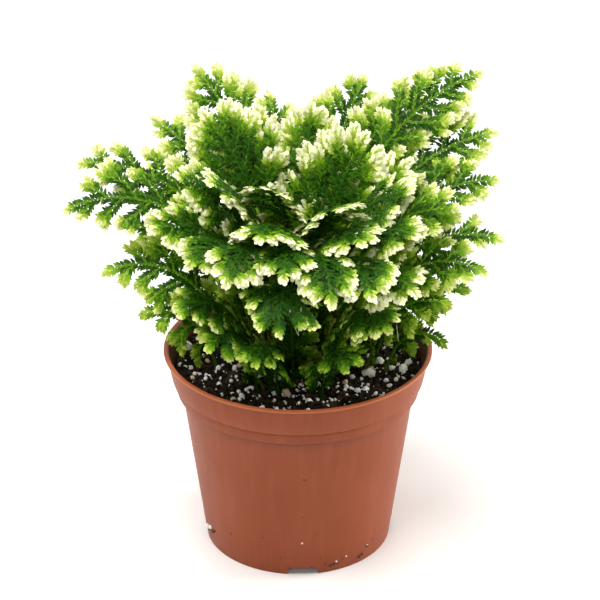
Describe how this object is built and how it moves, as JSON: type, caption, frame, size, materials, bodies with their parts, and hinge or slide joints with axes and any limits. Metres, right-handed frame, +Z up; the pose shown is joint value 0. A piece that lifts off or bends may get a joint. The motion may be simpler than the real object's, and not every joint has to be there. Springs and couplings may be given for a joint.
{
  "type": "potted fern",
  "caption": "Round tapered nursery pot filled with potting soil, from which wiry stems rise and arch out, each with a flat, finely branched, pale-tipped leafy frond.",
  "frame": {"origin": "the middle of the pot's foot, on the surface that the pot stands on", "axes": "+Z up, -Y towards the front that the picture looks at, +X to the right of that view"},
  "size_m": [0.1912, 0.1634, 0.2124],
  "materials": {
    "terracotta_plastic": "satin",
    "potting_soil": "matte",
    "leaves": "satin"
  },
  "bodies": {
    "root": {"pot": "terracotta_plastic", "soil": "potting_soil", "frond_01": "leaves", "frond_02": "leaves", "frond_03": "leaves", "frond_04": "leaves", "frond_05": "leaves", "frond_06": "leaves", "frond_07": "leaves", "frond_08": "leaves", "frond_09": "leaves", "frond_10": "leaves", "frond_11": "leaves", "frond_12": "leaves", "frond_13": "leaves", "frond_14": "leaves", "frond_15": "leaves", "frond_16": "leaves", "frond_17": "leaves", "frond_18": "leaves", "frond_19": "leaves", "frond_20": "leaves", "frond_21": "leaves", "frond_22": "leaves", "frond_23": "leaves", "frond_24": "leaves", "frond_25": "leaves", "frond_26": "leaves", "frond_27": "leaves", "frond_28": "leaves", "frond_29": "leaves", "frond_30": "leaves", "frond_31": "leaves", "frond_32": "leaves", "frond_33": "leaves", "frond_34": "leaves", "frond_35": "leaves", "frond_36": "leaves", "frond_37": "leaves", "frond_38": "leaves", "frond_39": "leaves", "frond_40": "leaves", "frond_41": "leaves", "frond_42": "leaves", "frond_43": "leaves", "frond_44": "leaves", "frond_45": "leaves", "frond_46": "leaves", "frond_47": "leaves", "frond_48": "leaves", "frond_49": "leaves", "frond_50": "leaves", "frond_51": "leaves", "frond_52": "leaves", "frond_53": "leaves", "frond_54": "leaves", "frond_55": "leaves", "frond_56": "leaves", "frond_57": "leaves"}
  },
  "joints": []
}
